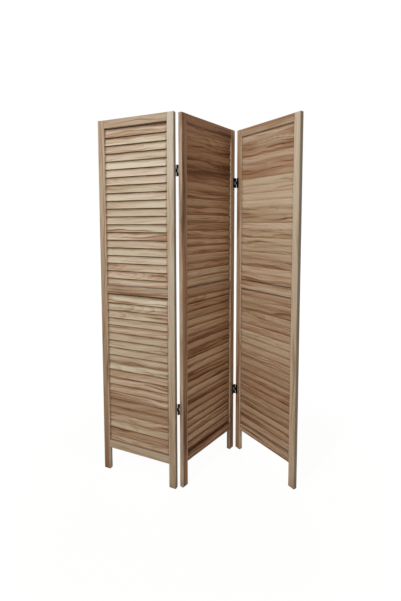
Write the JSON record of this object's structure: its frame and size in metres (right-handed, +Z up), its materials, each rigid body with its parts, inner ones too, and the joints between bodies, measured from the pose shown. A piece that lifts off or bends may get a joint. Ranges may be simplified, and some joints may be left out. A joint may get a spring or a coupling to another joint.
{
  "type": "folding screen",
  "caption": "Free-standing wooden folding screen of louvred panels in stile and rail frames, joined by steel butt hinges so that it stands in a zig-zag or folds flat.",
  "frame": {"origin": "on the floor, under the middle of the whole screen's plan as it stands in the picture", "axes": "+Z up, -Y towards the front that the picture shows, +X to the right of someone facing that front"},
  "size_m": [0.9276, 0.328, 1.7],
  "materials": {
    "frame_wood": "thin matt stain, grain showing",
    "slat_wood": "thin matt stain, each slat its own tone",
    "hinge_steel": "black, satin",
    "screw_steel": "black, satin"
  },
  "bodies": {
    "left_panel": {"left_panel_left_stile": "frame_wood", "left_panel_right_stile": "frame_wood", "left_panel_top_rail": "frame_wood", "left_panel_middle_rail": "frame_wood", "left_panel_bottom_rail": "frame_wood", "left_panel_upper_slats": "slat_wood", "left_panel_lower_slats": "slat_wood", "left_panel_hinge_screws": "screw_steel", "left_fold_hinge_leaves_on_left_panel": "hinge_steel"},
    "middle_panel": {"middle_panel_left_stile": "frame_wood", "middle_panel_right_stile": "frame_wood", "middle_panel_top_rail": "frame_wood", "middle_panel_middle_rail": "frame_wood", "middle_panel_bottom_rail": "frame_wood", "middle_panel_upper_slats": "slat_wood", "middle_panel_lower_slats": "slat_wood", "middle_panel_hinge_screws": "screw_steel", "left_fold_hinge_leaves_on_middle_panel": "hinge_steel", "left_fold_hinge_pins": "hinge_steel", "right_fold_hinge_leaves_on_middle_panel": "hinge_steel", "right_fold_hinge_pins": "hinge_steel"},
    "right_panel": {"right_panel_left_stile": "frame_wood", "right_panel_right_stile": "frame_wood", "right_panel_top_rail": "frame_wood", "right_panel_middle_rail": "frame_wood", "right_panel_bottom_rail": "frame_wood", "right_panel_upper_slats": "slat_wood", "right_panel_lower_slats": "slat_wood", "right_panel_hinge_screws": "screw_steel", "right_fold_hinge_leaves_on_right_panel": "hinge_steel"}
  },
  "joints": [
    {"name": "fold_left", "type": "hinge", "parent": "middle_panel", "child": "left_panel", "pos_m": [-0.08159, -0.14161, 0.85], "axis": [0, 0, 1], "range_deg": [-108, 72]},
    {"name": "fold_right", "type": "hinge", "parent": "middle_panel", "child": "right_panel", "pos_m": [0.2007, 0.15282, 0.85], "axis": [0, 0, 1], "range_deg": [-77.5, 102.5]}
  ]
}
